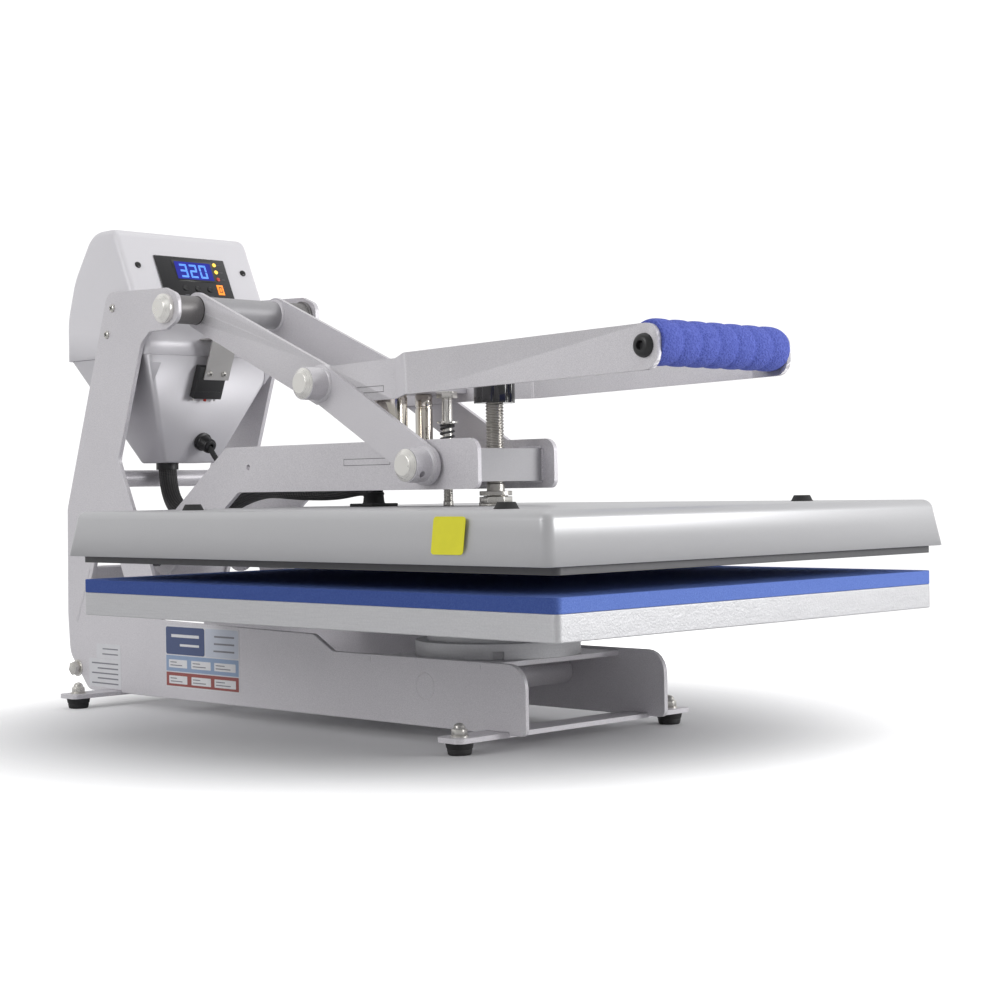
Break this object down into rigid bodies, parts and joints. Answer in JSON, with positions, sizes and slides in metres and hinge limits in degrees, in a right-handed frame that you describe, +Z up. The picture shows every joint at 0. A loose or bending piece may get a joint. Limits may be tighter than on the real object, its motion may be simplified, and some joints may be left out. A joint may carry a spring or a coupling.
{
  "type": "heat press",
  "caption": "Swing-lever clamshell heat press: padded lower platen, heated upper platen on a hinged beam, toggle lever with foam grip, pressure screw and control box.",
  "frame": {"origin": "on the table surface, under the middle of the machine's bounding box", "axes": "+X to the right as the operator faces the press, +Y to the rear, +Z up"},
  "size_m": [0.4306, 0.7348, 0.418],
  "materials": {
    "frame_paint": "light lilac-grey fine-textured powder coat",
    "box_paint": "smooth pale silver powder coat",
    "cover_paint": "satin silver paint",
    "cast_aluminium": "raw cast and milled aluminium",
    "dark_casting": "dark coated aluminium casting",
    "pad_foam": "blue silicone foam, matte and finely pitted",
    "grip_foam": "blue cellular foam grip",
    "black_rubber": "black rubber",
    "black_plastic": "black moulded plastic",
    "braid": "black woven sleeving",
    "gloss_black": "glossy black plastic",
    "zinc": "bright zinc plate",
    "turned_steel": "turned and nickel-plated steel",
    "chrome": "polished nickel",
    "thread_steel": "plain steel",
    "board_green": "circuit board and dark components",
    "ceramic_felt": "ceramic fibre board",
    "red_plastic": "red plastic"
  },
  "bodies": {
    "root": {"left_side_frame": "frame_paint", "right_side_frame": "frame_paint", "cross_plates": "frame_paint", "foot_straps": "frame_paint", "cross_tubes": "frame_paint", "rubber_feet": "black_rubber", "foot_nuts": "zinc", "frame_screws": "zinc", "platen_hub": "cast_aluminium", "lower_platen": "cast_aluminium", "silicone_pad": "pad_foam", "upper_pivot_shaft": "turned_steel", "upper_pivot_spacers": "frame_paint", "rear_pivot_shaft": "zinc", "lift_springs": "thread_steel", "box_upper_shell": "box_paint", "box_lower_shell": "box_paint", "display_panel": "gloss_black", "control_board": "board_green", "power_inlet": "black_plastic", "cable_glands": "black_plastic", "limit_switch": "black_plastic", "switch_bracket": "zinc", "conduit_rear": "braid", "magnet_cable": "braid"},
    "mode_button": {"mode_button": "black_plastic"},
    "down_button": {"down_button": "black_plastic"},
    "up_button": {"up_button": "black_plastic"},
    "power_rocker": {"power_rocker": "black_plastic"},
    "switch_plunger": {"switch_plunger": "red_plastic"},
    "beam": {"beam_left_plate": "frame_paint", "beam_right_plate": "frame_paint", "beam_front_tube": "frame_paint", "beam_magnet_plate": "frame_paint", "beam_rear_tube": "frame_paint", "link_pin": "turned_steel", "electromagnet": "chrome", "release_plunger": "chrome", "guide_spring": "thread_steel"},
    "heat_platen": {"heat_casting": "dark_casting", "heating_element": "thread_steel", "insulation_board": "ceramic_felt", "heat_cover": "cover_paint", "cover_plugs": "black_rubber", "swivel_socket": "zinc", "guide_bolt": "zinc", "terminal_boot": "black_rubber", "conduit_front": "braid"},
    "pressure_screw": {"pressure_screw": "thread_steel", "pressure_knob": "gloss_black"},
    "lever": {"lever_left_plate": "frame_paint", "lever_right_plate": "frame_paint", "lever_centre_tube": "frame_paint", "armature_plate": "frame_paint", "handle_bar": "zinc", "foam_grip": "grip_foam", "handle_screws": "black_plastic"},
    "links": {"link_left": "frame_paint", "link_right": "frame_paint", "knee_pins": "turned_steel"}
  },
  "joints": [
    {"name": "beam_hinge", "type": "hinge", "parent": "root", "child": "beam", "pos_m": [0, 0.26335, 0.133], "axis": [-1, 0, 0], "range_deg": [0, 40]},
    {"name": "lever_hinge", "type": "hinge", "parent": "root", "child": "lever", "pos_m": [0, 0.20735, 0.3413], "axis": [-1, 0, 0], "range_deg": [0, 90]},
    {"name": "link_hinge", "type": "hinge", "parent": "beam", "child": "links", "pos_m": [0, -0.08065, 0.203], "axis": [-1, 0, 0], "range_deg": [-59.3, 0]},
    {"name": "platen_slide", "type": "slide", "parent": "beam", "child": "heat_platen", "axis": [0, 0, 1], "range_m": [-0.0125, 0], "deforming": ["guide_spring"]},
    {"name": "screw_turn", "type": "hinge", "parent": "heat_platen", "child": "pressure_screw", "pos_m": [0, -0.10865, 0.2], "axis": [0, 0, 1], "range_deg": [-1801, 0]},
    {"name": "power_rocker_turn", "type": "hinge", "parent": "root", "child": "power_rocker", "pos_m": [0, 0.32648, 0.23774], "axis": [1, 0, 0], "range_deg": [-9, 0]},
    {"name": "switch_plunger_press", "type": "slide", "parent": "root", "child": "switch_plunger", "axis": [0, -0.3885, 0.9214], "range_m": [0, 0.0018], "stiffness_N_per_m": 400},
    {"name": "mode_button_press", "type": "slide", "parent": "root", "child": "mode_button", "axis": [0, 0.9095, -0.4157], "range_m": [0, 0.001], "stiffness_N_per_m": 800},
    {"name": "down_button_press", "type": "slide", "parent": "root", "child": "down_button", "axis": [0, 0.9095, -0.4157], "range_m": [0, 0.001], "stiffness_N_per_m": 800},
    {"name": "up_button_press", "type": "slide", "parent": "root", "child": "up_button", "axis": [0, 0.9095, -0.4157], "range_m": [0, 0.001], "stiffness_N_per_m": 800}
  ],
  "couplings": [
    {"joint": "lever_hinge", "follows": "beam_hinge", "ratio": 2.244},
    {"joint": "link_hinge", "follows": "beam_hinge", "ratio": -1.4776},
    {"joint": "screw_turn", "follows": "platen_slide", "rad_per_m": 2513.3}
  ]
}
